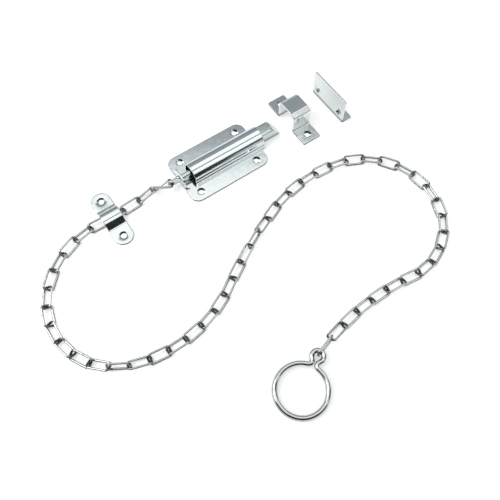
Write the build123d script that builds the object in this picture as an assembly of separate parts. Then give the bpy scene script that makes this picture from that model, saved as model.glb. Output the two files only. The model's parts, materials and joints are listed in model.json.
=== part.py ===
from build123d import *
import os
from math import asin, atan2, cos, degrees, pi, radians, sin, sqrt, tan

os.makedirs("parts", exist_ok=True)

# Chain bolt: a sprung door bolt that a metre of chain and a pull ring draw back, with its
# chain guide, keep and angle strike laid out on the same flat surface. Sizes are in millimetres.
# The origin is the middle of the case's four screws on the mounting face, +X is the way the
# bolt shoots, and +Z points away from the door.

# Screws and folds of the pressed pieces
SCREW_HOLE = 5.8
SCREW_HEAD = 9.6
BEND = 1.5

# Back plate of the case, with an end tab folded up at the rear
PLATE_LENGTH = 102.0
PLATE_WIDTH = 67.0
PLATE_THICKNESS = 2.0
PLATE_CORNER = 10.0
CASE_SCREWS_ALONG = 75.0
CASE_SCREWS_ACROSS = 47.0
TAB_WIDTH = 24.0
TAB_HEIGHT = 18.5
TAB_CORNER = 7.0
TAB_ROOT = 8.0
RELIEF = 1.6

# Barrel cover over the bolt, welded to the plate by its feet
COVER_LENGTH = 92.5
COVER_OVERHANG = 5.0
COVER_WALL = 1.6
COVER_FOOT = 3.0

# Bolt with a bevelled nose
BOLT_WIDTH = 22.0
BOLT_HEIGHT = 14.5
BOLT_CORNER = 10.4
BOLT_EDGE = 0.6
BOLT_LENGTH = 60.0
BOLT_THROW = 24.0
NOSE_PROUD = 1.0
BOLT_CLEARANCE = 0.3
BEVEL_LENGTH = 11.5
NOSE_LAND = 1.0
NOSE_LENGTH = 24.5
NOSE_WIDTH = 16.5
NOSE_DROP = 1.2
NOSE_CORNER = 3.2

# Pull rod with a flattened eye
ROD_DIAMETER = 7.0
ROD_CLEARANCE = 0.3
ROD_SOCKET = 12.0
SOCKET_CLEARANCE = 0.05
EYE_THICKNESS = 3.0
EYE_HEIGHT = 10.4
EYE_HOLE = 6.2
EYE_REACH = 9.4
STOP_GAP = 0.3

# Flats that stand for round wire in the chain, the ring and the spring, and steps in their bends
WIRE_SIDES = 8
BEND_STEPS = 2
RING_SIDES = 12
RING_STEPS = 30
EYE_STEPS = 12
SPRING_SIDES = 6
SPRING_STEPS = 8

# Return spring round the rod
SPRING_WIRE = 1.5
SPRING_DIAMETER = 11.6
SPRING_TURNS = 13
SPRING_SEAT_GAP = 0.2

# Connecting link between the rod and the chain, twisted a quarter turn along its length
CONNECTOR_WIRE = 3.0
CONNECTOR_LENGTH_INSIDE = 20.5
CONNECTOR_WIDTH_INSIDE = 7.6
CONNECTOR_BEND_INSIDE = 1.4
CONNECTOR_SWING = 16.8
CONNECTOR_SLACK = 0.45

# Chain links, leaning to one side and the other in turn
CHAIN_LENGTH = 1000.0
CHAIN_LINKS = 50
LINK_WIRE = 2.5
LINK_WIDTH_INSIDE = 7.5
LINK_BEND_INSIDE = 1.75
LINK_SLACK = 0.25
LINK_LEAN = 25.0
STEEP_LINKS = {15: 75.0, 25: 75.0, CHAIN_LINKS: 85.0}

# Lie of the chain: its first heading, then how many links turn by how much each
CHAIN_HEADING = -173.8
CHAIN_TURNS = [
    (4, -2.8),
    (5, 12.4),
    (7, 14.9),
    (6, 8.2),
    (5, -2.1),
    (5, -7.0),
    (7, -14.4),
    (5, -15.2),
    (6, 4.3),
]

# Pull ring, one bent wire with a pinched eye
RING_WIRE = 5.4
RING_DIAMETER = 56.5
RING_EYE_INSIDE = 6.6
RING_NECK_BEND = 4.0
RING_NECK_GAP = 0.3
RING_TURN = 11.0

# Chain guide, a bridge over the chain with two round ears
GUIDE_THICKNESS = 2.0
GUIDE_WIDTH = 22.0
GUIDE_SCREWS = 51.0
GUIDE_HEADROOM = 2.2
GUIDE_TOP = 12.0
GUIDE_BASE = 25.0
GUIDE_SHOULDER = 4.5
GUIDE_LINK_COUNT = 3
GUIDE_SHIFT = 4.8

# Keep that the bolt shoots into
KEEP_THICKNESS = 2.0
KEEP_WIDTH = 23.6
KEEP_LENGTH = 74.0
KEEP_SCREWS = 54.4
KEEP_HEIGHT = 27.0
KEEP_SHOULDER = 23.5
KEEP_SPAN = 30.0
KEEP_TOP = 18.0
KEEP_CORNER = 1.5
KEEP_SIDE_HOLE = 3.4
KEEP_SIDE_HOLE_HEIGHT = 16.5
KEEP_SIDE_HOLE_SHIFT = -5.0
KEEP_DISTANCE = 15.0

# Angle strike, set with its taller flange towards the keep
STRIKE_THICKNESS = 2.0
STRIKE_LENGTH = 57.0
STRIKE_HEIGHT = 35.0
STRIKE_FOOT = 15.0
STRIKE_SCREWS = 40.0
STRIKE_SCREW_HEIGHT = 13.0
STRIKE_CORNER = 1.2
STRIKE_DISTANCE = 32.4
STRIKE_SIDEWAYS = -7.5

# Places that follow from the sizes above
PLATE_REAR = -PLATE_LENGTH / 2
COVER_FRONT = PLATE_LENGTH / 2 + COVER_OVERHANG
COVER_REAR = COVER_FRONT - COVER_LENGTH
BOLT_BOTTOM = PLATE_THICKNESS + BOLT_CLEARANCE
BOLT_TOP = BOLT_BOTTOM + BOLT_HEIGHT
BOLT_TIP = COVER_FRONT + BOLT_THROW + NOSE_PROUD
BOLT_REAR = BOLT_TIP - BOLT_LENGTH
AXIS_HEIGHT = BOLT_BOTTOM + BOLT_HEIGHT / 2
TAB_FACE = PLATE_REAR + PLATE_THICKNESS
EYE_X = PLATE_REAR - EYE_REACH
KEEP_X = BOLT_TIP + KEEP_DISTANCE + KEEP_WIDTH / 2
STRIKE_X = KEEP_X + KEEP_WIDTH / 2 + STRIKE_DISTANCE
LINK_PITCH = CHAIN_LENGTH / CHAIN_LINKS
LINK_LENGTH_INSIDE = LINK_PITCH + LINK_SLACK
LINK_HALF_WIDTH = (LINK_WIDTH_INSIDE + LINK_WIRE) / 2


def screw_hole(thickness):
    """Cutter for a countersunk hole: its head is flush with z = 0 and its shank goes down."""
    sink = (SCREW_HEAD - SCREW_HOLE) / 2
    shank = Pos(0, 0, -thickness) * Cylinder(SCREW_HOLE / 2, 2 * thickness)
    return shank + Pos(0, 0, -sink / 2) * Cone(SCREW_HOLE / 2, SCREW_HEAD / 2, sink)


def folded_strip(middle_line, radii, thickness, width, plane=Plane.YZ):
    """Sheet folded along the middle of its thickness, centred on the plane across its width."""
    profile = trace(FilletPolyline(*middle_line, radius=radii), thickness)
    return extrude(plane * profile, width / 2, both=True)


def swept_wire(path, wire, sides):
    """Wire of a few flats along a path of short straight runs."""
    flats = RegularPolygon(wire / 2, sides, rotation=180 / sides)
    return sweep(Plane(path @ 0, z_dir=path % 0) * flats, path=path, transition=Transition.RIGHT)


def bent_corners(corners, bend):
    """Points of an open path whose corners, between its two ends, are bent round in steps."""
    points = [corners[0]]
    for before, corner, after in zip(corners, corners[1:], corners[2:]):
        back = (before - corner).normalized()
        ahead = (after - corner).normalized()
        turn = 180 - back.get_angle(ahead)
        middle = corner + (back + ahead).normalized() * (bend / cos(radians(turn / 2)))
        arm = corner + back * (bend * tan(radians(turn / 2))) - middle
        step = turn / BEND_STEPS
        for number in range(BEND_STEPS):
            spoke = arm.rotate(Axis((0, 0, 0), ahead.cross(back)), step * (number + 0.5))
            points.append(middle + spoke / cos(radians(step / 2)))
    return points + [corners[-1]]


def half_loop(inside_length, inside_width, inside_bend, wire, twist):
    """Half a link, long along X, from the middle of one end bar to the middle of the other."""
    x = (inside_length + wire) / 2
    y = (inside_width + wire) / 2
    far = Vector(x, y * cos(radians(twist)), y * sin(radians(twist)))
    corners = [Vector(-x, 0, 0), Vector(-x, y, 0), far, Vector(x, 0, 0)]
    return swept_wire(Polyline(*bent_corners(corners, inside_bend + wire / 2)), wire, WIRE_SIDES)


def wire_loop(inside_length, inside_width, inside_bend, wire, twist=0):
    """A closed link of wire, long along X, its far end twisted from the near one that lies flat in XY."""
    half = half_loop(inside_length, inside_width, inside_bend, wire, twist)
    return half + half.rotate(Axis.X, 180)


def back_plate():
    """Flat plate with four screw holes and the rear tab that the rod runs through."""
    plate = extrude(RectangleRounded(PLATE_LENGTH, PLATE_WIDTH, PLATE_CORNER), PLATE_THICKNESS)
    notch_depth = BEND + PLATE_THICKNESS + RELIEF
    notch = Box(2 * notch_depth, TAB_WIDTH + 2 * RELIEF, 4 * PLATE_THICKNESS)
    plate -= Pos(PLATE_REAR, 0, 0) * notch
    middle = PLATE_THICKNESS / 2
    corner_x = PLATE_REAR + middle
    line = [(PLATE_REAR + notch_depth + TAB_ROOT, middle), (corner_x, middle), (corner_x, TAB_HEIGHT)]
    tab = folded_strip(line, BEND + middle, PLATE_THICKNESS, TAB_WIDTH, Plane.XZ)
    tab = fillet(tab.edges().filter_by(Axis.X).group_by(Axis.Z)[-1], TAB_CORNER)
    hole = Pos(PLATE_REAR, 0, AXIS_HEIGHT) * Rot(0, 90, 0)
    hole *= Cylinder(ROD_DIAMETER / 2 + ROD_CLEARANCE, 4 * PLATE_THICKNESS)
    screws = Pos(0, 0, PLATE_THICKNESS) * GridLocations(CASE_SCREWS_ALONG, CASE_SCREWS_ACROSS, 2, 2)
    return plate + tab - hole - screws * screw_hole(PLATE_THICKNESS)


def barrel_cover():
    """Pressed cover with a rounded top, upright sides and feet turned out on the plate."""
    half = COVER_WALL / 2
    side = BOLT_WIDTH / 2 + BOLT_CLEARANCE + half
    top = BOLT_TOP + BOLT_CLEARANCE + half
    foot = PLATE_THICKNESS + half
    line = [(-side - COVER_FOOT, foot), (-side, foot), (-side, top)]
    line += [(side, top), (side, foot), (side + COVER_FOOT, foot)]
    foot_bend = BEND + half
    top_bend = BOLT_CORNER + BOLT_CLEARANCE + half
    cover = folded_strip(line, [foot_bend, top_bend, top_bend, foot_bend], COVER_WALL, COVER_LENGTH)
    return Pos((COVER_FRONT + COVER_REAR) / 2, 0, 0) * cover


def bar_section(width, height, corner):
    """Flat-bottomed section with rounded shoulders, level with the bolt's underside."""
    section = Pos(0, (height - BOLT_HEIGHT) / 2) * Rectangle(width, height)
    section = fillet(section.vertices().group_by(Axis.Y)[-1], corner)
    return chamfer(section.vertices().group_by(Axis.Y)[0], BOLT_EDGE)


def bolt():
    """Half-round bar that fills the cover, with a narrower bevelled nose and a socket for the rod."""
    body = extrude(Plane.YZ * bar_section(BOLT_WIDTH, BOLT_HEIGHT, BOLT_CORNER), BOLT_LENGTH - NOSE_LENGTH)
    nose = extrude(Plane.YZ * bar_section(NOSE_WIDTH, BOLT_HEIGHT - NOSE_DROP, NOSE_CORNER), BOLT_LENGTH)
    nose_top = (BOLT_LENGTH - BEVEL_LENGTH, BOLT_HEIGHT / 2)
    nose_low = (BOLT_LENGTH, NOSE_LAND - BOLT_HEIGHT / 2)
    beyond = (BOLT_LENGTH, BOLT_HEIGHT / 2)
    wedge = make_face(Polyline(nose_top, nose_low, beyond, close=True))
    bevel = extrude(Plane.XZ * wedge, BOLT_WIDTH, both=True)
    socket = Pos(ROD_SOCKET / 2, 0, 0) * Rot(0, 90, 0)
    socket *= Cylinder(ROD_DIAMETER / 2 + SOCKET_CLEARANCE, ROD_SOCKET)
    return Pos(BOLT_REAR, 0, AXIS_HEIGHT) * (body + nose - bevel - socket)


def pull_rod():
    """Round rod whose rear end is hammered flat into an eye that also stops it at the tab."""
    front = BOLT_REAR + ROD_SOCKET
    shoulder = PLATE_REAR - STOP_GAP
    rod = Pos((front + shoulder) / 2, 0, 0) * Rot(0, 90, 0) * Cylinder(ROD_DIAMETER / 2, front - shoulder)
    neck = shoulder - EYE_X
    flat = Pos(EYE_X + neck / 2, 0) * Rectangle(neck, EYE_HEIGHT)
    flat += Pos(EYE_X, 0) * Circle(EYE_HEIGHT / 2)
    flat -= Pos(EYE_X, 0) * Circle(EYE_HOLE / 2)
    eye = extrude(Plane.XZ * flat, EYE_THICKNESS / 2, both=True)
    return Pos(0, 0, AXIS_HEIGHT) * (rod + eye)


def return_spring():
    """Compression spring between the tab and the bolt."""
    rear = TAB_FACE + SPRING_SEAT_GAP + SPRING_WIRE / 2
    front = BOLT_REAR - SPRING_SEAT_GAP - SPRING_WIRE / 2
    radius = (SPRING_DIAMETER - SPRING_WIRE) / 2
    steps = SPRING_TURNS * SPRING_STEPS
    turns = [2 * pi * step / SPRING_STEPS for step in range(steps + 1)]
    rise = (front - rear) / turns[-1]
    coil = Polyline(*[(radius * cos(turn), radius * sin(turn), rise * turn) for turn in turns])
    section = Plane(coil @ 0, z_dir=coil % 0) * RegularPolygon(SPRING_WIRE / 2, SPRING_SIDES)
    spring = sweep(section, path=coil, transition=Transition.RIGHT)
    return Pos(rear, 0, AXIS_HEIGHT) * Rot(0, 90, 0) * spring


def lean(number):
    """How far a link leans over from lying flat, in degrees, left and right in turn."""
    angle = STEEP_LINKS.get(number, LINK_LEAN)
    return angle if number % 2 else -angle


def resting_height(number):
    """Height of a leaning link's middle line when its lower side lies on the surface."""
    return LINK_HALF_WIDTH * abs(sin(radians(lean(number)))) + LINK_WIRE / 2


def contact_heights():
    """Height of each place where two links meet, so that neither goes below the surface."""
    inner = [max(resting_height(n), resting_height(n + 1)) for n in range(1, CHAIN_LINKS)]
    connector_side = CONNECTOR_WIDTH_INSIDE / 2 + CONNECTOR_WIRE
    return [max(connector_side, resting_height(1))] + inner + [resting_height(CHAIN_LINKS)]


def level_turn(heading):
    """Unit vector along the surface."""
    return Vector(cos(radians(heading)), sin(radians(heading)), 0)


def connector_ends():
    """Middles of the connecting link's two end bars, and its direction."""
    bar_to_meeting = CONNECTOR_LENGTH_INSIDE + (CONNECTOR_WIRE - CONNECTOR_SLACK) / 2
    drop = asin((AXIS_HEIGHT - contact_heights()[0]) / bar_to_meeting)
    along = level_turn(180 - CONNECTOR_SWING) * cos(drop) - Vector(0, 0, sin(drop))
    swing = radians(CONNECTOR_SWING)
    slanted = CONNECTOR_WIRE / 2 / cos(swing) + EYE_THICKNESS / 2 * tan(swing)
    seat = EYE_HOLE / 2 - slanted - CONNECTOR_SLACK
    first = Vector(EYE_X - seat, 0, AXIS_HEIGHT)
    return first, first + along * (CONNECTOR_LENGTH_INSIDE + CONNECTOR_WIRE), along


def chain_contacts():
    """The places where neighbouring links meet, from the connecting link to the ring."""
    first, last, along = connector_ends()
    contacts = [last - along * (CONNECTOR_WIRE + CONNECTOR_SLACK) / 2]
    heights = contact_heights()
    heading = CHAIN_HEADING - CHAIN_TURNS[0][1]
    for links, turn in CHAIN_TURNS:
        for link in range(links):
            heading += turn
            rise = heights[len(contacts)] - contacts[-1].Z
            level = level_turn(heading) * sqrt(LINK_PITCH**2 - rise**2)
            contacts.append(contacts[-1] + level + Vector(0, 0, rise))
    return contacts


def wire_plane(middle, along, leaning):
    """Plane of a link: X along it and Y across it, leaning over from level."""
    level = Vector(-along.Y, along.X, 0).normalized()
    across = level * cos(radians(leaning)) + along.cross(level) * sin(radians(leaning))
    return Plane(middle, x_dir=along, z_dir=along.cross(across))


def link_plane(number):
    """Where one chain link lies."""
    start, end = CONTACTS[number - 1], CONTACTS[number]
    return wire_plane((start + end) / 2, (end - start).normalized(), lean(number))


def end_bar(number):
    """Middle of a link's far end bar, which the next link turns about, and its direction."""
    plane = link_plane(number)
    return plane.origin + plane.x_dir * (LINK_LENGTH_INSIDE + LINK_WIRE) / 2, plane.y_dir


def connector_plane():
    """Where the connecting link lies."""
    first, last, along = connector_ends()
    return wire_plane((first + last) / 2, along, 0)


def connecting_link():
    """Twisted link of thicker wire: flat where it goes through the rod's eye, upright at the chain."""
    size = (CONNECTOR_LENGTH_INSIDE, CONNECTOR_WIDTH_INSIDE, CONNECTOR_BEND_INSIDE, CONNECTOR_WIRE)
    return connector_plane().location * wire_loop(*size, twist=90)


def ring_lengths():
    """Radii of the ring's and its eye's middle lines, the neck bend's centre and the eye's centre."""
    ring = (RING_DIAMETER - RING_WIRE) / 2
    eye = (RING_EYE_INSIDE + RING_WIRE) / 2
    neck_y = RING_NECK_BEND + (RING_WIRE + RING_NECK_GAP) / 2
    neck_x = sqrt((ring + RING_NECK_BEND) ** 2 - neck_y**2)
    eye_x = neck_x + sqrt((eye + RING_NECK_BEND) ** 2 - neck_y**2)
    return ring, eye, neck_x, neck_y, eye_x


def ring_plane():
    """The ring hangs by its eye on the last link, and its far side lies on the surface."""
    ring, eye, neck_x, neck_y, eye_x = ring_lengths()
    reach = eye_x + eye + ring
    heading = CHAIN_HEADING + sum(links * turn for links, turn in CHAIN_TURNS) - CHAIN_TURNS[0][1]
    tilt = asin((CONTACTS[-1].Z - RING_WIRE / 2) / (reach + (RING_WIRE + LINK_SLACK) / 2))
    away = level_turn(heading + RING_TURN) * cos(tilt) - Vector(0, 0, sin(tilt))
    middle = CONTACTS[-1] + away * (eye_x + eye - (RING_WIRE + LINK_SLACK) / 2)
    return wire_plane(middle, away * -1, 0)


def pull_ring():
    """Ring, pinched neck and small eye, bent from one length of wire."""
    ring, eye, neck_x, neck_y, eye_x = ring_lengths()
    leave = degrees(atan2(neck_y, neck_x))
    join = degrees(atan2(neck_y, eye_x - neck_x))
    points = arc_points((0, 0), ring, leave, 360 - 2 * leave, RING_STEPS)
    points += arc_points((neck_x, -neck_y), RING_NECK_BEND, 180 - leave, leave + join - 180, BEND_STEPS)
    points += arc_points((eye_x, 0), eye, join - 180, 360 - 2 * join, EYE_STEPS)
    points += arc_points((neck_x, neck_y), RING_NECK_BEND, -join, leave + join - 180, BEND_STEPS)
    start = (points[0] + points[1]) / 2
    path = Polyline(start, *points[1:], points[0], close=True)
    return ring_plane().location * swept_wire(path, RING_WIRE, RING_SIDES)


def arc_points(centre, radius, start, turn, steps):
    """Points along an arc in XY, without its last one."""
    angles = [radians(start + turn * step / steps) for step in range(steps)]
    return [Vector(*centre) + Vector(cos(angle), sin(angle)) * radius for angle in angles]


def chain_guide():
    """Strap bridging the chain, with a screw through each round ear."""
    half = GUIDE_THICKNESS / 2
    bridge = 2 * resting_height(GUIDE_LINK_COUNT) + GUIDE_HEADROOM + half
    end = (GUIDE_SCREWS + GUIDE_WIDTH) / 2
    line = [(-end, half), (-GUIDE_BASE / 2, half), (-GUIDE_TOP / 2, bridge)]
    line += [(GUIDE_TOP / 2, bridge), (GUIDE_BASE / 2, half), (end, half)]
    radii = [GUIDE_SHOULDER, GUIDE_SHOULDER, GUIDE_SHOULDER, GUIDE_SHOULDER]
    strap = folded_strip(line, radii, GUIDE_THICKNESS, GUIDE_WIDTH)
    strap &= extrude(Rot(0, 0, 90) * SlotOverall(2 * end, GUIDE_WIDTH), bridge + GUIDE_THICKNESS)
    for side in (-1, 1):
        strap -= Pos(0, side * GUIDE_SCREWS / 2, GUIDE_THICKNESS) * screw_hole(GUIDE_THICKNESS)
    return guide_place() * strap


def guide_place():
    """The guide lies across its link, a little towards the next one."""
    start, end = CONTACTS[GUIDE_LINK_COUNT - 1], CONTACTS[GUIDE_LINK_COUNT]
    along = (end - start).normalized()
    middle = (start + end) / 2 + along * GUIDE_SHIFT
    return Pos(middle.X, middle.Y, 0) * Rot(0, 0, degrees(atan2(along.Y, along.X)))


def keep():
    """Staple with two screwed feet and a tunnel for the bolt."""
    half = KEEP_THICKNESS / 2
    side = KEEP_SPAN / 2 - half
    top = KEEP_HEIGHT - half
    line = [(-KEEP_LENGTH / 2, half), (-side, half), (-side, KEEP_SHOULDER), (-KEEP_TOP / 2, top)]
    line += [(KEEP_TOP / 2, top), (side, KEEP_SHOULDER), (side, half), (KEEP_LENGTH / 2, half)]
    strap = folded_strip(line, BEND + half, KEEP_THICKNESS, KEEP_WIDTH)
    upright = strap.edges().filter_by(Axis.Z)
    strap = fillet(upright.filter_by(lambda edge: abs(edge.center().Y) > KEEP_SPAN / 2), KEEP_CORNER)
    for end in (-1, 1):
        strap -= Pos(0, end * KEEP_SCREWS / 2, KEEP_THICKNESS) * screw_hole(KEEP_THICKNESS)
    side_hole = Pos(KEEP_SIDE_HOLE_SHIFT, -side, KEEP_SIDE_HOLE_HEIGHT) * Rot(90, 0, 0)
    strap -= side_hole * Cylinder(KEEP_SIDE_HOLE / 2, 2 * KEEP_THICKNESS)
    return Pos(KEEP_X, 0, 0) * strap


def angle_strike():
    """Angle plate with two screws through its taller flange."""
    half = STRIKE_THICKNESS / 2
    line = [(STRIKE_FOOT, half), (half, half), (half, STRIKE_HEIGHT)]
    angle = folded_strip(line, BEND + half, STRIKE_THICKNESS, STRIKE_LENGTH, Plane.XZ)
    angle = fillet(angle.edges().filter_by(Axis.X).group_by(Axis.Z)[-1], STRIKE_CORNER)
    for end in (-1, 1):
        spot = Pos(0, end * STRIKE_SCREWS / 2, STRIKE_SCREW_HEIGHT) * Rot(0, -90, 0)
        angle -= spot * screw_hole(STRIKE_THICKNESS)
    return Pos(STRIKE_X, STRIKE_SIDEWAYS, 0) * angle


CONTACTS = chain_contacts()
pieces = {
    "back_plate": back_plate(),
    "barrel_cover": barrel_cover(),
    "bolt": bolt(),
    "pull_rod": pull_rod(),
    "return_spring": return_spring(),
    "connecting_link": connecting_link(),
    "pull_ring": pull_ring(),
    "chain_guide": chain_guide(),
    "keep": keep(),
    "angle_strike": angle_strike(),
}
link = wire_loop(LINK_LENGTH_INSIDE, LINK_WIDTH_INSIDE, LINK_BEND_INSIDE, LINK_WIRE)
for number in range(1, CHAIN_LINKS + 1):
    pieces[f"link_{number:02d}"] = link_plane(number).location * link

for name, piece in pieces.items():
    export_step(piece, f"parts/{name}.step")
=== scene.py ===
"""Chain bolt: sprung bolt in a pressed case, pull chain with ring, chain guide, keep and angle strike."""
import json
from math import atan2, copysign, cos, degrees, pi, radians, sin, sqrt, tan

import bmesh
import bpy
import numpy as np
from mathutils import Matrix, Vector


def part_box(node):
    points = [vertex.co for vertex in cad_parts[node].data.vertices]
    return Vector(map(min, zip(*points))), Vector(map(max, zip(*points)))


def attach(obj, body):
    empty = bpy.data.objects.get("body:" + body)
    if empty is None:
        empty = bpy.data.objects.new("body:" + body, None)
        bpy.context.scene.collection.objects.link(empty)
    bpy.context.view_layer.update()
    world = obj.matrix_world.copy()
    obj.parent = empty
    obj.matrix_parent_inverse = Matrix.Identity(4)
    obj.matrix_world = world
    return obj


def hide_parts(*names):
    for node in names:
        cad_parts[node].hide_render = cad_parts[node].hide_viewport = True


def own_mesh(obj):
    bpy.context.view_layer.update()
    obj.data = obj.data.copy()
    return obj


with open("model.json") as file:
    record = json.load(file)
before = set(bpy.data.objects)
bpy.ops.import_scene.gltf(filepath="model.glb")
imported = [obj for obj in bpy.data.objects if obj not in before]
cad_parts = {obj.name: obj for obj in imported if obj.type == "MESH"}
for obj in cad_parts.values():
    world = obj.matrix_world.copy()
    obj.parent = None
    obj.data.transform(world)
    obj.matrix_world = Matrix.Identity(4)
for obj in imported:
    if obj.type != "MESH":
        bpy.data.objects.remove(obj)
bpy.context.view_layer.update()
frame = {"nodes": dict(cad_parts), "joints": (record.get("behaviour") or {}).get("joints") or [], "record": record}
joints = {joint["name"]: joint for joint in frame["joints"]}
MM = 0.001


# Small helpers

def linear(hex_colour):
    """An sRGB hex colour as linear RGBA."""
    parts = [int(hex_colour[i:i + 2], 16) / 255 for i in (1, 3, 5)]
    return tuple(c / 12.92 if c <= 0.04045 else ((c + 0.055) / 1.055) ** 2.4 for c in parts) + (1.0,)


def add(tree, kind, inputs=None, stops=(), **settings):
    """Adds a node; an input is a plain value or the socket that feeds it, and stops are a ramp's colours."""
    node = tree.nodes.new(kind)
    for name, value in settings.items():
        setattr(node, name, value)
    for name, value in (inputs or {}).items():
        if isinstance(value, bpy.types.NodeSocket):
            tree.links.new(value, node.inputs[name])
        else:
            node.inputs[name].default_value = value
    if stops:
        band = node.color_ramp.elements
        band.remove(band[-1])
        for number, (position, colour) in enumerate(stops):
            stop = band.new(position) if number else band[0]
            stop.position = position
            stop.color = linear(colour)
    return node


def in_scene(name, data):
    """New object for a datablock, in the scene."""
    holder = bpy.data.objects.new(name, data)
    bpy.context.scene.collection.objects.link(holder)
    return holder


def put(name, mesh, body, slot, material, *nodes):
    """Makes the finished piece from a mesh already in its place."""
    mesh.name = name
    mesh.materials.clear()
    mesh.materials.append(material)
    piece = in_scene(name, mesh)
    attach(piece, body)
    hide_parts(*nodes)
    return piece


def evaluated(data, modifiers=()):
    """Plain mesh of a curve or mesh datablock after its modifiers."""
    holder = in_scene("holder", data)
    for kind, settings in modifiers:
        modifier = holder.modifiers.new(kind, kind)
        for name, value in settings.items():
            setattr(modifier, name, value)
    bpy.context.view_layer.update()
    depsgraph = bpy.context.evaluated_depsgraph_get()
    mesh = bpy.data.meshes.new_from_object(holder.evaluated_get(depsgraph))
    bpy.data.objects.remove(holder)
    return mesh


def as_mesh(work, name):
    """Plain mesh of a bmesh that is done."""
    mesh = bpy.data.meshes.new(name)
    work.to_mesh(mesh)
    work.free()
    return mesh


def skinned(work, rings):
    """Faces between rings of equally many vertices, with a cap on each end."""
    count = len(rings[0])
    for near, far in zip(rings, rings[1:]):
        for n in range(count):
            work.faces.new((near[n], near[(n + 1) % count], far[(n + 1) % count], far[n]))
    work.faces.new(list(reversed(rings[0])))
    work.faces.new(rings[-1])


def drilled(mesh, tool):
    """Mesh with the tool's shape taken out of it."""
    holder = in_scene("tool", tool)
    rest = evaluated(mesh, [("BOOLEAN", {"operation": "DIFFERENCE", "solver": "EXACT", "object": holder})])
    bpy.data.objects.remove(holder)
    return rest


def rounded_edges(mesh, width, angle):
    """Mesh in metres with its edges sharper than the angle rounded to a width in millimetres."""
    limit = {"limit_method": "ANGLE", "angle_limit": radians(angle)}
    return evaluated(mesh, [("BEVEL", {"width": width * MM, "segments": 3, **limit})])


def softened(mesh, angle=35):
    """Smooth shading that keeps flat faces flat, with sharp edges past the angle."""
    mesh.shade_smooth()
    mesh.set_sharp_from_angle(angle=radians(angle))
    return evaluated(mesh, [("WEIGHTED_NORMAL", {"keep_sharp": True, "weight": 60})])


# Finishes

def zinc(name, colour, tint, roughness, waviness, joint_shade=None):
    """Bright zinc plate: a cool silver mirror, a little hazy, with faint blue-green passivation clouds.

    Where a piece carries the attribute for painted shade, the plating darkens towards the given colour: painted
    shade where parts meet.
    """
    # how far across a cloud, a handling mark and a wave of the surface are
    cloud, mark, wave, wave_height = 22 * MM, 1.5 * MM, 9 * MM, 1 * MM
    material = bpy.data.materials.new(name)
    material.use_nodes = True
    tree = material.node_tree
    shader = tree.nodes["Principled BSDF"]
    shader.inputs["Metallic"].default_value = 1.0
    place = add(tree, "ShaderNodeTexCoord").outputs["Object"]
    # passivation clouds
    clouds = add(tree, "ShaderNodeTexNoise", {"Vector": place, "Scale": 1 / cloud, "Detail": 2.0})
    tints = ((0.35, colour), (0.7, tint))
    plated = add(tree, "ShaderNodeValToRGB", {"Fac": clouds.outputs["Fac"]}, stops=tints).outputs["Color"]
    # handling marks, drawn coarse enough to show
    marks = add(tree, "ShaderNodeTexNoise", {"Vector": place, "Scale": 1 / mark, "Detail": 3.0})
    haze = add(tree, "ShaderNodeMapRange", {
        "Value": marks.outputs["Fac"], "From Min": 0.35, "From Max": 0.75,
        "To Min": roughness * 0.8, "To Max": roughness * 1.35})
    # slow waves of pressed or drawn metal
    waves = add(tree, "ShaderNodeTexNoise", {"Vector": place, "Scale": 1 / wave, "Detail": 1.0})
    bump = add(tree, "ShaderNodeBump", {
        "Height": waves.outputs["Fac"], "Strength": waviness, "Distance": wave_height})
    # painted shade: the plating darkens towards the given colour where the links meet
    if joint_shade:
        joint_shading = add(tree, "ShaderNodeAttribute", attribute_name="joint_shade").outputs["Fac"]
        shades = {"Factor": joint_shading, "A": plated, "B": linear(joint_shade)}
        plated = add(tree, "ShaderNodeMix", shades, data_type="RGBA").outputs["Result"]
    tree.links.new(plated, shader.inputs["Base Color"])
    tree.links.new(haze.outputs["Result"], shader.inputs["Roughness"])
    tree.links.new(bump.outputs["Normal"], shader.inputs["Normal"])
    return material


# Pressed sheet: bright plating over rolled steel, broad soft reflections
pressed_zinc = zinc("zinc_plated_pressed_steel", "#E6E9E8", "#D9E2E4", 0.13, 0.05)
# Drawn bar: the same plating over a drawn surface, a shade darker
drawn_zinc = zinc("zinc_plated_drawn_bar", "#DCE1DE", "#CED8D4", 0.17, 0.04)
# Wire: polished by tumbling, narrow bright and dark lines along each side, and painted shade that darkens it where
# links meet
wire_zinc = zinc("zinc_plated_tumbled_wire", "#D6DADA", "#C9CECE", 0.08, 0.02, joint_shade="#4A4F50")
# Spring: plated hard-drawn wire, pale with a green cast
spring_steel = zinc("zinc_plated_spring_wire", "#C4CFC8", "#AEBDB5", 0.2, 0.02)


# Sheet metal: a flat blank in millimetres is cut, drilled and folded

# all pressings but the cover are of one thickness; a fold line runs along the middle of the sheet
THICK = 2.0
MID = THICK / 2
# inside radius of a plain bend, and the radius of the fold line there
BEND = 1.5
BEND_LINE = BEND + MID
# a screw hole's bore and countersink, and how many times as wide as deep a pressed dish round it is
SCREW_HOLE, SCREW_HEAD, DISH_SLOPE = 5.8, 9.6, 7.5


def arc(centre, radius, start, turn, steps):
    """Points along an arc, both ends included."""
    angles = [radians(start + turn * step / steps) for step in range(steps + 1)]
    return [(centre[0] + radius * cos(a), centre[1] + radius * sin(a)) for a in angles]


def rounded(corners):
    """Outline with its corners rounded; each corner is (x, y, radius)."""
    points = []
    count = len(corners)
    for number, (x, y, radius) in enumerate(corners):
        corner = Vector((x, y))
        back = (Vector(corners[number - 1][:2]) - corner).normalized()
        ahead = (Vector(corners[(number + 1) % count][:2]) - corner).normalized()
        half = back.angle(ahead) / 2
        centre = corner + (back + ahead).normalized() * (radius / sin(half))
        first = corner + back * (radius / tan(half)) - centre
        last = corner + ahead * (radius / tan(half)) - centre
        start = atan2(first.y, first.x)
        turn = (atan2(last.y, last.x) - start + pi) % (2 * pi) - pi
        points += arc(centre, radius, degrees(start), degrees(turn), max(4, int(radius * 2)))
    return points


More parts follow.
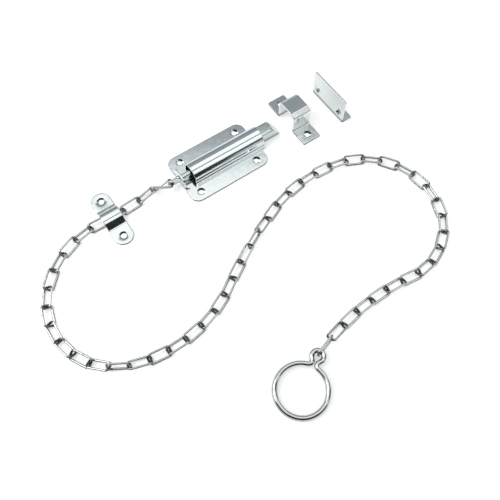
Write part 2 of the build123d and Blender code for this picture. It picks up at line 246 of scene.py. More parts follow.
def oblong(length, width, near, far):
    """Outline of a strip along X, with one corner radius at its start and another at its end."""
    half = width / 2
    return rounded([(0, -half, near), (length, -half, far), (length, half, far), (0, half, near)])


def blank(outline, holes, thickness, edge=0.4):
    """Flat blank with its faces at z = 0 and z = thickness, plain round holes and soft edges."""
    curve = bpy.data.curves.new("blank", "CURVE")
    curve.dimensions = "2D"
    curve.fill_mode = "BOTH"
    curve.extrude = thickness / 2 - edge
    curve.bevel_depth = edge
    curve.bevel_resolution = 2
    curve.offset = -edge
    loops = [outline] + [arc(centre, radius, 0, 360, 40)[:-1] for centre, radius in holes]
    for loop in loops:
        spline = curve.splines.new("POLY")
        spline.points.add(len(loop) - 1)
        for point, (x, y) in zip(spline.points, loop):
            point.co = (x, y, 0, 1)
        spline.use_cyclic_u = True
    mesh = evaluated(curve)
    mesh.transform(Matrix.Translation((0, 0, thickness / 2)))
    work = bmesh.new()
    work.from_mesh(mesh)
    bmesh.ops.remove_doubles(work, verts=work.verts, dist=1e-4)
    bmesh.ops.recalc_face_normals(work, faces=work.faces)
    work.to_mesh(mesh)
    work.free()
    return mesh


def countersunk(mesh, spots, dish=0.0):
    """Drills countersunk screw holes through a flat blank from its top, each in a dish of the given depth."""
    bore, head, clear = SCREW_HOLE / 2, SCREW_HEAD / 2, 0.5
    floor_of_dish = THICK - dish
    profile = [(bore, -MID), (bore, floor_of_dish - (head - bore)), (head, floor_of_dish)]
    if dish:
        profile.append((head + DISH_SLOPE * dish, THICK))
    profile.append((profile[-1][0] + clear, THICK + clear))
    cutter = bmesh.new()
    for spot in spots:
        circles = [(arc(spot, radius, 0, 360, 48)[:-1], z) for radius, z in profile]
        skinned(cutter, [[cutter.verts.new((x, y, z)) for x, y in circle] for circle, z in circles])
    return drilled(mesh, as_mesh(cutter, "countersink"))


class FoldLine:
    """Middle line of a folded sheet, given by its corners and the line's radius at each bend."""

    def __init__(self, corners, bends):
        self.runs = []
        points = [Vector(corner) for corner in corners]
        start = points[0]
        for before, corner, after, bend in zip(points, points[1:], points[2:], bends):
            into = (corner - before).normalized()
            out = (after - corner).normalized()
            turn = into.angle_signed(out) * -1
            reach = bend * tan(abs(turn) / 2)
            self.runs.append((start, into, (corner - into * reach - start).length, 0.0))
            self.runs.append((corner - into * reach, into, bend * abs(turn), turn))
            start = corner + out * reach
        self.runs.append((start, (points[-1] - start).normalized(), (points[-1] - start).length, 0.0))
        self.length = sum(run[2] for run in self.runs)

    def place(self, s, offset):
        """Folded place of a point at s along the blank and offset from its middle."""
        for number, (start, way, length, turn) in enumerate(self.runs):
            if s <= length or number == len(self.runs) - 1:
                break
            s -= length
        side = Vector((-way.y, way.x))
        if not turn:
            return start + way * s + side * offset
        radius = length / abs(turn)
        sign = 1 if turn > 0 else -1
        centre = start + side * radius * sign
        angle = s / radius
        spoke = side * -sign * cos(angle) + way * sin(angle)
        return centre + spoke * (radius - sign * offset)

    def cuts(self, steps):
        """Where the blank is divided so that its bends come out round."""
        found, s = [], 0.0
        for run in self.runs:
            length, turn = run[2:]
            if turn:
                found += [s + length * step / steps for step in range(steps + 1)]
            s += length
        return found


def folded(mesh, line, thickness, only=None, steps=8):
    """Folds a blank whose x runs along the line; only keeps the fold to |y| below a size."""
    start, way = line.runs[0][:2]
    side = Vector((-way.y, way.x))
    work = bmesh.new()
    work.from_mesh(mesh)
    bmesh.ops.triangulate(work, faces=work.faces)
    for s in line.cuts(steps):
        everything = work.verts[:] + work.edges[:] + work.faces[:]
        bmesh.ops.bisect_plane(work, geom=everything, dist=1e-5, plane_co=(s, 0, 0), plane_no=(1, 0, 0))
    for vert in work.verts:
        offset = way.x * (vert.co.z - thickness / 2)
        if only is None or abs(vert.co.y) < only:
            spot = line.place(vert.co.x, offset)
        else:
            spot = start + way * vert.co.x + side * offset
        vert.co = (spot.x, vert.co.y, spot.y)
    bmesh.ops.recalc_face_normals(work, faces=work.faces)
    work.to_mesh(mesh)
    work.free()
    return mesh


def settled(mesh, matrix):
    """Turns millimetres to metres in the piece's place."""
    mesh.transform(matrix @ Matrix.Scale(MM, 4))
    mesh.update()
    return softened(mesh)


def crosswise(x, y):
    """Turns a strip that was folded along X so that it runs along Y, at a place on the floor."""
    return Matrix.Translation((x, y, 0)) @ Matrix.Rotation(pi / 2, 4, "Z")


def middle_of(node):
    """Middle of a CAD node's box."""
    low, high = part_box(node)
    return (low + high) / 2


def spots_of(node):
    """Places of a CAD node's vertices, each one once."""
    return np.unique(np.round([v.co for v in frame["nodes"][node].data.vertices], 6), axis=0)


def link_frame(node):
    """Middle of a chain link and its axes along it and across it."""
    spots = spots_of(node)
    middle = spots.mean(0)
    axes = np.linalg.eigh(np.cov((spots - middle).T))[1]
    return Vector(middle), Vector(axes[:, 2]), Vector(axes[:, 1])


# Case: back plate with its rear tab folded up, and the barrel cover over the bolt

# the plate's length and width, and how high the rod runs over the floor
PLATE, WIDE = 102.0, 67.0
ROD_HEIGHT = 9.55


def back_plate():
    """Plate with large round corners, four countersunk holes and a round-topped tab for the rod."""
    corner, edge_corner, notch_corner = 10.0, 0.4, 0.7
    tab, tab_top, tab_corner, rod_hole, relief = 12.0, 18.5, 7.0, 3.8, 1.6
    screw_x, screw_y = 37.5, 23.5
    # the fold line starts this far ahead of the plate's middle and runs back to the tab
    fold_from = 30.0
    line = FoldLine([(fold_from, MID), (MID - PLATE / 2, MID), (MID - PLATE / 2, tab_top)], [BEND_LINE])
    front, rear, end = fold_from - PLATE / 2, fold_from + PLATE / 2, line.length
    root = rear - BEND - THICK - relief
    gap = tab + relief
    half = [(front, WIDE / 2, corner), (rear, WIDE / 2, corner), (rear, gap, edge_corner),
            (root, gap, notch_corner), (root, tab, notch_corner), (end, tab, tab_corner)]
    outline = half + [(x, -y, radius) for x, y, radius in reversed(half)]
    mesh = blank(rounded(outline), [((end - tab_top + ROD_HEIGHT, 0), rod_hole)], THICK)
    mesh = countersunk(mesh, [(fold_from + x, y) for x in (-screw_x, screw_x) for y in (-screw_y, screw_y)])
    return settled(folded(mesh, line, THICK, tab + relief / 2), Matrix.Identity(4))


def barrel_cover():
    """Half-round cover with narrow feet turned out on the plate."""
    low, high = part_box("barrel_cover")
    wall, foot_width, side, top, crown = 1.6, 3.0, 12.1, 17.9, 11.5
    corner, edge = 0.5, 0.3
    foot = THICK + wall / 2
    reach = side + foot_width
    corners = [(-reach, foot), (-side, foot), (-side, top), (side, top), (side, foot), (reach, foot)]
    line = FoldLine(corners, [BEND + wall / 2, crown, crown, BEND + wall / 2])
    outline = oblong(line.length, (high.x - low.x) / MM, corner, corner)
    mesh = folded(blank(outline, [], wall, edge), line, wall)
    return settled(mesh, crosswise((low.x + high.x) / 2, 0))


# Loose pressings: the keep, the angle strike and the guide on the chain

def keep():
    """Staple that the bolt shoots into: screwed feet, upright sides, sloped shoulders and a flat top."""
    middle = middle_of("keep")
    length, span, shoulder, height, top = 37.0, 14.0, 23.5, 26.0, 9.0
    width, corner, screw = 23.6, 1.5, 27.2
    hole, hole_height, hole_side = 1.7, 16.5, 5.0
    corners = [(-length, MID), (-span, MID), (-span, shoulder), (-top, height)]
    corners += [(-x, z) for x, z in reversed(corners)]
    line = FoldLine(corners, [BEND_LINE] * 6)
    # along the blank, the first upright starts past the foot and its bend
    upright = length - span - BEND_LINE + BEND_LINE * pi / 2
    side_hole = (upright + hole_height - BEND_LINE - MID, hole_side)
    mesh = blank(oblong(line.length, width, corner, corner), [(side_hole, hole)], THICK)
    mesh = countersunk(mesh, [(length - screw, 0), (line.length - length + screw, 0)])
    return settled(folded(mesh, line, THICK), crosswise(middle.x, middle.y))


def angle_strike():
    """Angle plate with two screws through its taller flange."""
    low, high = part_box("angle_strike")
    foot, height, foot_corner, top_corner = 15.0, 35.0, 0.8, 1.2
    screw_height, screw_side = 13.0, 20.0
    line = FoldLine([(foot, MID), (MID, MID), (MID, height)], [BEND_LINE])
    mesh = blank(oblong(line.length, (high.y - low.y) / MM, foot_corner, top_corner), [], THICK)
    # the screws go in from the other face, so the blank is turned over and back
    over = Matrix.Translation((0, 0, THICK)) @ Matrix.Rotation(pi, 4, "X")
    up = line.length - height + screw_height
    mesh.transform(over)
    mesh = countersunk(mesh, [(up, -screw_side), (up, screw_side)])
    mesh.transform(over)
    return settled(folded(mesh, line, THICK), Matrix.Translation((low.x, (low.y + high.y) / 2, 0)))


def chain_guide():
    """Strap bridging the chain, with a countersunk screw hole in each round ear."""
    spot = next(m for m in frame["record"]["mounts"] if m["name"] == "guide_screws")["pos_m"]
    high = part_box("chain_guide")[1]
    along = link_frame("link_03")[1]
    reach, base, top, width = 36.5, 12.5, 6.0, 22.0
    foot_bend, top_bend, dish, edge = 4.5, 9.8, 0.3, 0.7
    bridge = high.z / MM - MID
    half = [(-reach, MID), (-base, MID), (-top, bridge)]
    line = FoldLine(half + [(-x, z) for x, z in reversed(half)], [foot_bend, top_bend, top_bend, foot_bend])
    # an ear is a hair short of a half round, so that its end keeps an edge
    ear = width / 2 - 0.01
    mesh = blank(oblong(line.length, width, ear, ear), [], THICK, edge)
    mesh = countersunk(mesh, [(width / 2, 0), (line.length - width / 2, 0)], dish)
    turn = Matrix.Rotation(atan2(along.y, along.x), 4, "Z")
    return settled(folded(mesh, line, THICK), crosswise(spot[0], spot[1]) @ turn)


put("back_plate_pressed", back_plate(), "case", "zinc_sheet", pressed_zinc, "back_plate")
put("barrel_cover_pressed", barrel_cover(), "case", "zinc_sheet", pressed_zinc, "barrel_cover")
put("keep_pressed", keep(), "case", "zinc_sheet", pressed_zinc, "keep")
put("angle_strike_pressed", angle_strike(), "case", "zinc_sheet", pressed_zinc, "angle_strike")
put("chain_guide_pressed", chain_guide(), "link_03", "zinc_sheet", pressed_zinc, "chain_guide")


# Bolt and its pull rod

def bar(half, tall, shoulder, start, length, cuts=()):
    """Flat-bottomed bar along X in millimetres; each cut is a place and an outward normal."""
    foot, edge = 0.6, 0.4
    section = [(-half, 0, foot), (half, 0, foot), (half, tall, shoulder), (-half, tall, shoulder)]
    mesh = blank(rounded(section), [], length, edge)
    # the section's x and y become Y and Z, and the bar runs along X
    mesh.transform(Matrix(((0, 0, 1, start), (1, 0, 0, 0), (0, 1, 0, 0), (0, 0, 0, 1))))
    work = bmesh.new()
    work.from_mesh(mesh)
    for spot, normal in cuts:
        everything = work.verts[:] + work.edges[:] + work.faces[:]
        cut = bmesh.ops.bisect_plane(
            work, geom=everything, dist=1e-5, plane_co=spot, plane_no=normal, clear_outer=True)
        bmesh.ops.holes_fill(work, edges=[e for e in cut["geom_cut"] if isinstance(e, bmesh.types.BMEdge)])
    bmesh.ops.recalc_face_normals(work, faces=work.faces)
    return work


def bolt():
    """Half-round drawn bar, its nose narrower with a flat top and a bevel, edges just broken."""
    low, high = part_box("bolt")
    length = (high.x - low.x) / MM
    nose_length, overlap = 24.5, 0.2
    bevel_length, bevel_height, tip, swell = 11.5, 12.3, 1.0, 0.5
    tip_tilt, top_tilt, facets = 56, 38, 5
    # the bevel is a row of cuts that flattens from the tip to the top and swells a little between
    bevel = []
    for number in range(facets):
        share = number / (facets - 1)
        tilt = radians(tip_tilt + (top_tilt - tip_tilt) * share)
        height = tip + bevel_height * share + swell * sin(pi * share)
        bevel.append(((length - bevel_length * share, 0, height), (sin(tilt), 0, cos(tilt))))
    nose_start = length - nose_length - overlap
    work = bar(half=11.0, tall=14.5, shoulder=10.4, start=0, length=length - nose_length)
    nose = bar(half=8.25, tall=13.3, shoulder=3.2, start=nose_start, length=nose_length + overlap, cuts=bevel)
    work.from_mesh(as_mesh(nose, "nose"))
    mesh = as_mesh(work, "bolt")
    mesh.transform(Matrix.Translation((low.x, 0, low.z)) @ Matrix.Scale(MM, 4))
    return softened(rounded_edges(mesh, width=0.35, angle=40))


def pull_rod():
    """Round rod whose rear end is hammered flat into an eye."""
    low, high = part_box("pull_rod")
    eye, hole, hole_length, flat, shank, sides = 5.2, 3.1, 20, 1.5, 3.5, 40
    centre, front = low.x / MM + eye, high.x / MM
    shoulder = -PLATE / 2 - 0.3
    # places along the rod with its half height and half width there: the round end, the flat, the shank
    stations = []
    for angle in range(0, 91, 6):
        a = radians(angle)
        # the end keeps a little height, so that its cap has a face
        tall = max(eye * sin(a), 0.05)
        stations.append((centre - eye * cos(a), tall, flat * min(1, 0.35 + angle / 30)))
    stations += [(centre + 2.5, 5.15, flat), (shoulder - 3.4, 5.0, 1.6), (shoulder - 2.2, 4.9, 2.0)]
    stations += [(shoulder - 1.0, 4.7, 2.7), (shoulder - 0.2, 4.3, 3.2), (shoulder + 0.1, shank, shank)]
    stations += [(front - 0.6, shank, shank), (front, 2.9, 2.9)]
    work = bmesh.new()
    rings = []
    for x, tall, thick in stations:
        # the section goes from a circle on the rod to a flat with round edges at the eye
        across, upright = (1.0, 1.0) if thick > shank - 0.1 else (0.55, 0.85)
        ring = []
        for n in range(sides):
            c, s = cos(2 * pi * n / sides), sin(2 * pi * n / sides)
            y = copysign(thick * abs(c) ** across, c)
            z = copysign(tall * abs(s) ** upright, s)
            ring.append(work.verts.new((x, y, ROD_HEIGHT + z)))
        rings.append(ring)
    skinned(work, rings)
    bmesh.ops.recalc_face_normals(work, faces=work.faces)
    drill = bmesh.new()
    place = Matrix.Translation((centre, 0, ROD_HEIGHT)) @ Matrix.Rotation(pi / 2, 4, "X")
    bmesh.ops.create_cone(
        drill, segments=48, radius1=hole, radius2=hole, depth=hole_length, cap_ends=True, matrix=place)
    mesh = drilled(as_mesh(work, "rod"), as_mesh(drill, "eye_drill"))
    mesh.transform(Matrix.Scale(MM, 4))
    return softened(rounded_edges(mesh, width=0.4, angle=50), angle=50)


put("bolt_bar", bolt(), "bolt", "zinc_bar", drawn_zinc, "bolt")
put("pull_rod_forged", pull_rod(), "bolt", "zinc_bar", drawn_zinc, "pull_rod")


# Wire: chain links, connecting link and return spring from geometry nodes, and the pull ring

# the chain's links and the return spring, in millimetres
LINKS, PITCH = 50, 20.0
LINK_LENGTH, LINK_WIDTH, LINK_BEND, LINK_WIRE = 20.25, 7.5, 1.75, 2.5
SPRING_WIRE, SPRING_OUTSIDE, SPRING_TURNS = 1.5, 11.6, 13


def wire_tree(name, sizes):
    """Starts a tree that takes named sizes and gives one geometry."""
    tree = bpy.data.node_groups.new(name, "GeometryNodeTree")
    for size in sizes:
        tree.interface.new_socket(size, in_out="INPUT", socket_type="NodeSocketFloat")
    tree.interface.new_socket("Geometry", in_out="OUTPUT", socket_type="NodeSocketGeometry")
    return tree, add(tree, "NodeGroupInput").outputs


def end_tree(tree, curve, profile, material):
    """Sweeps the profile along the curve and finishes the tree."""
    thickness = add(tree, "GeometryNodeInputRadius").outputs["Radius"]
    swept = add(tree, "GeometryNodeCurveToMesh", {
        "Curve": curve, "Profile Curve": profile, "Scale": thickness, "Fill Caps": True})
    smooth = add(tree, "GeometryNodeSetShadeSmooth", {"Geometry": swept.outputs["Mesh"]})
    real = add(tree, "GeometryNodeRealizeInstances", {"Geometry": smooth.outputs["Geometry"]})
    painted = add(tree, "GeometryNodeSetMaterial", {
        "Geometry": real.outputs["Geometry"], "Material": material})
    add(tree, "NodeGroupOutput", {"Geometry": painted.outputs["Geometry"]})
    return tree


def welded_loop_tree():
    """Wire loop with bent corners, a weld swelling on one side, a twist from end to end and painted shade at its
    ends, where links meet.
    """
    # the curve's point spacing, how far along the wire the weld swells, and the darkest painted shade at the link
    # ends
    spacing, weld_reach, deepest_joint_shade = 0.75 * MM, 1.6 * MM, 0.8
    tree, size = wire_tree(
        "welded_loop", ("Length inside", "Width inside", "Bend inside", "Wire", "Twist", "Weld"))
    wire = size["Wire"]
    across = add(tree, "ShaderNodeMath", {0: size["Length inside"], 1: wire}, operation="ADD").outputs[0]
    wide = add(tree, "ShaderNodeMath", {0: size["Width inside"], 1: wire}, operation="ADD").outputs[0]
    half_wire = add(tree, "ShaderNodeMath", {0: wire, 1: 0.5}, operation="MULTIPLY").outputs[0]
    bend = add(tree, "ShaderNodeMath", {0: size["Bend inside"], 1: half_wire}, operation="ADD").outputs[0]
    loop = add(tree, "GeometryNodeCurvePrimitiveQuadrilateral", {"Width": across, "Height": wide})
    bent = add(tree, "GeometryNodeFilletCurve", {
        "Curve": loop.outputs["Curve"], "Count": 7, "Radius": bend}, mode="POLY")
    fine = add(tree, "GeometryNodeResampleCurve", {
        "Curve": bent.outputs["Curve"], "Length": spacing}, mode="LENGTH")
    # the twist grows from one end of the loop to the other
    spot = add(tree, "GeometryNodeInputPosition").outputs["Position"]
    parts = add(tree, "ShaderNodeSeparateXYZ", {"Vector": spot}).outputs
    share = add(tree, "ShaderNodeMath", {0: parts["X"], 1: across}, operation="DIVIDE").outputs[0]
    turned = add(tree, "ShaderNodeMath", {0: share, 1: 0.5}, operation="ADD").outputs[0]
    angle = add(tree, "ShaderNodeMath", {0: turned, 1: size["Twist"]}, operation="MULTIPLY").outputs[0]
    twisted = add(tree, "ShaderNodeVectorRotate", {"Vector": spot, "Angle": angle}, rotation_type="X_AXIS")
    # the wire swells at the weld, in the middle of one long side
    far = add(tree, "ShaderNodeMath", {0: parts["X"]}, operation="ABSOLUTE").outputs[0]
    near_weld = add(tree, "ShaderNodeMapRange", {
        "Value": far, "From Max": weld_reach, "To Min": 1.0, "To Max": 0.0}, interpolation_type="SMOOTHSTEP")
    one_side = add(tree, "ShaderNodeMath", {0: parts["Y"], 1: 0.0}, operation="GREATER_THAN").outputs[0]
    bulge = add(tree, "ShaderNodeMath", {0: near_weld.outputs[0], 1: one_side}, operation="MULTIPLY")
    swell = add(tree, "ShaderNodeMath", {
        0: bulge.outputs[0], 1: size["Weld"], 2: 1.0}, operation="MULTIPLY_ADD").outputs[0]
    radius = add(tree, "ShaderNodeMath", {0: swell, 1: half_wire}, operation="MULTIPLY").outputs[0]
    sized = add(tree, "GeometryNodeSetCurveRadius", {"Curve": fine.outputs["Curve"], "Radius": radius})
    # the ends, where links bear on each other, are marked for painted shade, which darkens the plating there
    reach = add(tree, "ShaderNodeMath", {0: across, 1: 0.5}, operation="MULTIPLY").outputs[0]
    straight = add(tree, "ShaderNodeMath", {0: reach, 1: bend}, operation="SUBTRACT").outputs[0]
    joint_shading = add(tree, "ShaderNodeMapRange", {
        "Value": far, "From Min": straight, "From Max": reach, "To Max": deepest_joint_shade},
        interpolation_type="SMOOTHSTEP")
    marked = add(tree, "GeometryNodeStoreNamedAttribute", {
        "Geometry": sized.outputs["Curve"], "Name": "joint_shade", "Value": joint_shading.outputs[0]},
        data_type="FLOAT", domain="POINT")
    placed = add(tree, "GeometryNodeSetPosition", {
        "Geometry": marked.outputs["Geometry"], "Position": twisted.outputs[0]})
    ring = add(tree, "GeometryNodeCurvePrimitiveCircle", {"Resolution": 12, "Radius": 1.0})
    return end_tree(tree, placed.outputs["Geometry"], ring.outputs["Curve"], wire_zinc)


def coil_tree():
    """Compression spring along Z."""
    tree, size = wire_tree("return_coil", ("Wire", "Diameter", "Turns", "Long"))
    thick = add(tree, "ShaderNodeMath", {0: size["Wire"], 1: 0.5}, operation="MULTIPLY").outputs[0]
    half = add(tree, "ShaderNodeMath", {0: size["Diameter"], 1: 0.5}, operation="MULTIPLY").outputs[0]
    radius = add(tree, "ShaderNodeMath", {0: half, 1: thick}, operation="SUBTRACT").outputs[0]
    coil = add(tree, "GeometryNodeCurveSpiral", {
        "Resolution": 28, "Rotations": size["Turns"],
        "Start Radius": radius, "End Radius": radius, "Height": size["Long"]})
    ring = add(tree, "GeometryNodeCurvePrimitiveCircle", {"Resolution": 10, "Radius": thick})
    return end_tree(tree, coil.outputs["Curve"], ring.outputs["Curve"], spring_steel)


def grown(tree, **sizes):
    """Plain mesh that a tree gives for its named sizes."""
    holder = in_scene("holder", bpy.data.meshes.new("holder"))
    modifier = holder.modifiers.new("wire", "NODES")
    modifier.node_group = tree
    for item in tree.interface.items_tree:
        if item.in_out == "INPUT":
            modifier[item.identifier] = float(sizes[item.name.lower().replace(" ", "_")])
    bpy.context.view_layer.update()
    mesh = bpy.data.meshes.new_from_object(holder.evaluated_get(bpy.context.evaluated_depsgraph_get()))
    holder.modifiers.clear()
    bpy.data.objects.remove(holder)
    return mesh


def axes_at(middle, along, across):
    """Matrix that lays a piece long in X and wide in Y along the given axes."""
    out = along.cross(across)
    return Matrix.Translation(middle) @ Matrix((along, across, out)).transposed().to_4x4()


loop = welded_loop_tree()
link = grown(loop, length_inside=LINK_LENGTH * MM, width_inside=LINK_WIDTH * MM, bend_inside=LINK_BEND * MM,
             wire=LINK_WIRE * MM, twist=0, weld=0.1)
for number in range(1, LINKS + 1):
    name = f"link_{number:02d}"
    middle, along, across = link_frame(name)
    # the welds lie on the upper side, but for every third one
    if across.z < 0:
        across = -across
    if number % 3 == 0:
        across = -across
    mesh = link.copy()
    mesh.transform(axes_at(middle, along, across))
    put(f"chain_{name}", mesh, name, "zinc_wire", wire_zinc, name)

# the connecting link turns a quarter from the rod's upright eye to the chain
first = Vector(joints["connector_swing"]["pos_m"])
last = Vector(joints["link_01_swing"]["pos_m"])
along = (last - first).normalized()
level = Vector((-along.y, along.x, 0)).normalized()
mesh = grown(loop, length_inside=20.5 * MM, width_inside=7.6 * MM, bend_inside=1.4 * MM,
             wire=3 * MM, twist=pi / 2, weld=0.06)
mesh.transform(axes_at((first + last) / 2, along, level))
put("connecting_link_twisted", mesh, "connector", "zinc_wire", wire_zinc, "connecting_link")

# the return spring lies round the rod, from the rear of the CAD spring forward, on a mesh of its own
low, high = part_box("return_spring")
long = high.x - low.x
mesh = grown(coil_tree(), wire=SPRING_WIRE * MM, diameter=SPRING_OUTSIDE * MM, turns=SPRING_TURNS,
             long=long - SPRING_WIRE * MM)
start = Matrix.Translation((low.x + SPRING_WIRE / 2 * MM, 0, ROD_HEIGHT * MM))
mesh.transform(start @ Matrix.Rotation(pi / 2, 4, "Y"))
spring = put("return_spring_coil", mesh, "case", "spring_wire", spring_steel, "return_spring")
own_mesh(spring)


def pull_ring():
    """Ring bent from one wire: pinched neck, small eye, and its two ends butted together."""
    wire, ring, eye, bend, neck_gap, slack = 5.4, 25.55, 6.0, 4.0, 0.3, 0.25
    seam, seam_gap = 118.0, 0.6
    neck_y = bend + (wire + neck_gap) / 2
    neck_x = sqrt((ring + bend) ** 2 - neck_y ** 2)
    eye_x = neck_x + sqrt((eye + bend) ** 2 - neck_y ** 2)
    leave = degrees(atan2(neck_y, neck_x))
    join = degrees(atan2(neck_y, eye_x - neck_x))
    line = arc((0, 0), ring, seam + seam_gap, 360 - leave - seam - seam_gap, 72)[:-1]
    line += arc((neck_x, -neck_y), bend, 180 - leave, leave + join - 180, 10)[:-1]
    line += arc((eye_x, 0), eye, join - 180, 360 - 2 * join, 32)[:-1]
    line += arc((neck_x, neck_y), bend, -join, leave + join - 180, 10)[:-1]
    line += arc((0, 0), ring, leave, seam - leave, 36)
    curve = bpy.data.curves.new("ring", "CURVE")
    curve.dimensions = "3D"
    curve.bevel_depth = wire / 2
    curve.bevel_resolution = 6
    curve.use_fill_caps = True
    spline = curve.splines.new("POLY")
    spline.points.add(len(line) - 1)
    for point, (x, y) in zip(spline.points, line):
        point.co = (x, y, 0, 1)
    # the eye hangs on the last link's end bar and lies in the plane that the joint turns in
    out = Vector(joints["ring_swing"]["axis"]).normalized()
    if out.z < 0:
        out = -out
    hinge = Vector(joints["ring_swing"]["pos_m"])
    link_middle, link_along = link_frame(f"link_{LINKS}")[:2]
    if (hinge - link_middle).dot(link_along) < 0:
        link_along = -link_along
    contact = hinge - link_along * (LINK_LENGTH + LINK_WIRE - PITCH) / 2 * MM
    away = Vector(spots_of("pull_ring").mean(0)) - contact
    away = (away - out * away.dot(out)).normalized()
    middle = contact + away * (eye_x + eye - (wire + slack) / 2) * MM
    mesh = evaluated(curve)
    mesh.transform(axes_at(middle, -away, out.cross(-away)) @ Matrix.Scale(MM, 4))
    mesh.shade_smooth()
    mesh.set_sharp_from_angle(angle=radians(60))
    return mesh


put("pull_ring_bent", pull_ring(), "ring", "zinc_wire", wire_zinc, "pull_ring")


# Stage: white floor that keeps a pale shadow, studio surroundings, soft light and the camera

CAMERA = Vector((-0.1733, -0.3191, 0.5268))
FORWARD = Vector((0.241, 0.353, -0.904)).normalized()
# level directions: from the set to the camera's side, to the camera's right, and across the soft boxes
BACK = Vector((-FORWARD.x, -FORWARD.y, 0)).normalized()
RIGHT = Vector((-BACK.y, BACK.x, 0))
AHEAD = Vector((0.42, 0.91, 0)).normalized()
WHITE, DARK = "#FFFFFF", "#0C1011"


def floor():
    """White paper that shows white, with the soft shadows left in and a painted contact shadow seen only in the
    metal.
    """
    half, depth = 6, -1e-4
    mesh = bpy.data.meshes.new("floor")
    corners = [(-half, -half, depth), (half, -half, depth), (half, half, depth), (-half, half, depth)]
    mesh.from_pydata(corners, [], [(0, 1, 2, 3)])
    material = bpy.data.materials.new("white_paper")
    material.use_nodes = True
    tree = material.node_tree
    tree.nodes.clear()
    path = add(tree, "ShaderNodeLightPath").outputs
    glossy = path["Is Glossy Ray"]
    paper = add(tree, "ShaderNodeBsdfDiffuse", {"Color": linear("#EDEDED")}).outputs[0]
    # the paper glows a little where it is seen, less so in the metal
    seen = add(tree, "ShaderNodeMath", {0: path["Is Camera Ray"], 1: glossy}, operation="ADD").outputs[0]
    seen = add(tree, "ShaderNodeMath", {
        0: seen, 1: path["Is Transmission Ray"]}, operation="ADD", use_clamp=True).outputs[0]
    strength = add(tree, "ShaderNodeMapRange", {"Value": glossy, "To Min": 0.42, "To Max": 0.32}).outputs[0]
    glow = add(tree, "ShaderNodeEmission", {"Color": linear(WHITE), "Strength": strength}).outputs[0]
    lit = add(tree, "ShaderNodeAddShader", {0: paper, 1: glow}).outputs[0]
    mixed = add(tree, "ShaderNodeMixShader", {0: seen, 1: paper, 2: lit}).outputs[0]
    # painted contact shadow, seen only in the metal: a reflected ray that reaches the paper within a few
    # millimetres finds it dark
    reach = add(tree, "ShaderNodeMapRange", {
        "Value": path["Ray Length"], "From Min": 2.5 * MM, "From Max": 9 * MM,
        "To Min": 0.95, "To Max": 0.0}).outputs[0]
    contact = add(tree, "ShaderNodeMath", {0: reach, 1: glossy}, operation="MULTIPLY").outputs[0]
    painted_contact_shadow = add(tree, "ShaderNodeBsdfDiffuse", {"Color": linear("#000000")}).outputs[0]
    shown = add(tree, "ShaderNodeMixShader", {0: contact, 1: mixed, 2: painted_contact_shadow}).outputs[0]
    add(tree, "ShaderNodeOutputMaterial", {"Surface": shown})
    mesh.materials.append(material)
    in_scene("floor", mesh)


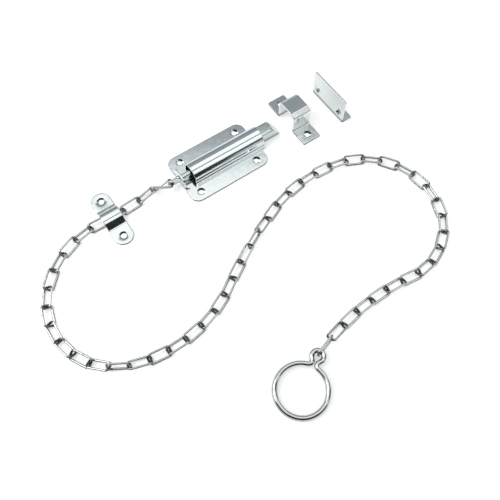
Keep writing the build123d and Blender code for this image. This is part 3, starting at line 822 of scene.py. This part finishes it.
def surroundings():
    """White to the camera; metal sees a studio, dark on the camera's side and at both ends, grey far off."""
    world = bpy.data.worlds.new("studio")
    bpy.context.scene.world = world
    world.use_nodes = True
    tree = world.node_tree
    tree.nodes.clear()
    way = add(tree, "ShaderNodeTexCoord").outputs["Generated"]
    # how far a ray points in each direction
    aim = {}
    for name, direction in (("up", (0, 0, 1)), ("ahead", AHEAD), ("near", BACK), ("side", RIGHT)):
        dot = add(tree, "ShaderNodeVectorMath", {0: way, 1: direction}, operation="DOT_PRODUCT")
        aim[name] = dot.outputs["Value"]
    # soft boxes: from the far horizon at 0, over the top at a half, to the horizon on the camera's side at 1
    turn = add(tree, "ShaderNodeMath", {0: aim["up"], 1: aim["ahead"]}, operation="ARCTAN2").outputs[0]
    share = add(tree, "ShaderNodeMath", {0: turn, 1: pi}, operation="DIVIDE").outputs[0]
    boxes = ((0.0, "#A2A6A8"), (0.2, "#989DA0"), (0.285, "#80868B"), (0.303, "#91979C"), (0.311, "#F8FAFA"),
             (0.475, WHITE), (0.495, "#4F5A54"), (0.525, "#55605B"), (0.545, WHITE))
    band = add(tree, "ShaderNodeValToRGB", {"Fac": share}, stops=boxes).outputs["Color"]
    rims = ((0.2, DARK), (0.7, "#6C7276"))
    rim = add(tree, "ShaderNodeValToRGB", {"Fac": aim["ahead"]}, stops=rims).outputs["Color"]
    # each fade goes from none at its start to all at its end
    fade = {}
    for name, direction, start, end in (
            ("behind", "near", 0.4, 0.56), ("left", "side", -0.4, -0.62), ("left_far", "near", -0.4, -0.15),
            ("right", "side", 0.5, 0.68), ("right_near", "near", 0.22, 0.08),
            ("right_far", "near", -0.5, -0.25), ("low", "up", 0.36, 0.2), ("high", "up", 0.4, 0.66)):
        step = add(tree, "ShaderNodeMapRange", {
            "Value": aim[direction], "From Min": start, "From Max": end}, interpolation_type="SMOOTHSTEP")
        fade[name] = step.outputs[0]
    # the dark room shows behind the camera and past the soft boxes on both sides
    for name, limit in (("left", "left_far"), ("right", "right_near"), ("right", "right_far")):
        both = add(tree, "ShaderNodeMath", {0: fade[name], 1: fade[limit]}, operation="MULTIPLY")
        fade[name] = both.outputs[0]
    past = fade["behind"]
    for name in ("left", "right"):
        past = add(tree, "ShaderNodeMath", {0: past, 1: fade[name]}, operation="MAXIMUM").outputs[0]
    # under the soft boxes lies a dark rim, above pale walls
    room = {}
    for name, part, base, over in (
            ("boxes", past, band, linear(DARK)), ("walls", fade["low"], rim, linear("#A9AFB1"))):
        shades = {"Factor": part, "A": base, "B": over}
        room[name] = add(tree, "ShaderNodeMix", shades, data_type="RGBA").outputs["Result"]
    shades = {"Factor": fade["high"], "A": room["walls"], "B": room["boxes"]}
    whole = add(tree, "ShaderNodeMix", shades, data_type="RGBA").outputs["Result"]
    path = add(tree, "ShaderNodeLightPath").outputs
    studio = add(tree, "ShaderNodeBackground", {"Color": whole, "Strength": 1.3}).outputs[0]
    plain = add(tree, "ShaderNodeBackground", {"Color": linear(WHITE), "Strength": 0.7}).outputs[0]
    white = add(tree, "ShaderNodeBackground", {"Color": linear(WHITE), "Strength": 1.0}).outputs[0]
    lit = add(tree, "ShaderNodeMixShader", {0: path["Is Glossy Ray"], 1: plain, 2: studio}).outputs[0]
    seen = add(tree, "ShaderNodeMath", {
        0: path["Is Camera Ray"], 1: path["Is Transmission Ray"]}, operation="ADD", use_clamp=True).outputs[0]
    shown = add(tree, "ShaderNodeMixShader", {0: seen, 1: lit, 2: white}).outputs[0]
    add(tree, "ShaderNodeOutputWorld", {"Surface": shown})


def dark_card():
    """Black card on the camera's side of the ring, seen only in the metal."""
    distance, half, tall = 0.2, 0.5, 0.6
    foot = middle_of("pull_ring") + BACK * distance
    foot.z = 0
    right, left, top = foot + RIGHT * half, foot - RIGHT * half, Vector((0, 0, tall))
    mesh = bpy.data.meshes.new("dark_card")
    mesh.from_pydata([right, left, left + top, right + top], [], [(0, 1, 2, 3)])
    material = bpy.data.materials.new("black_card")
    material.use_nodes = True
    shader = material.node_tree.nodes["Principled BSDF"]
    shader.inputs["Base Color"].default_value = linear(DARK)
    shader.inputs["Roughness"].default_value = 0.9
    mesh.materials.append(material)
    piece = in_scene("dark_card", mesh)
    piece.visible_camera = piece.visible_diffuse = piece.visible_shadow = False


def lamp(name, place, target, power, size):
    """Soft square light."""
    light = bpy.data.lights.new(name, "AREA")
    light.energy = power
    light.size = size
    holder = in_scene(name, light)
    holder.location = place
    holder.rotation_euler = (Vector(target) - Vector(place)).to_track_quat("-Z", "Y").to_euler()


def camera():
    """The photograph's view of the set."""
    data = bpy.data.cameras.new("camera")
    data.sensor_width = 36
    data.lens = 39.36
    holder = in_scene("camera", data)
    holder.location = CAMERA
    holder.rotation_euler = FORWARD.to_track_quat("-Z", "Y").to_euler()
    bpy.context.scene.camera = holder


floor()
surroundings()
dark_card()
lamp("window", place=(-0.9, 0.5, 1.3), target=(-0.03, -0.08, 0), power=9, size=0.9)
camera()
bpy.context.scene.view_settings.view_transform = "Standard"
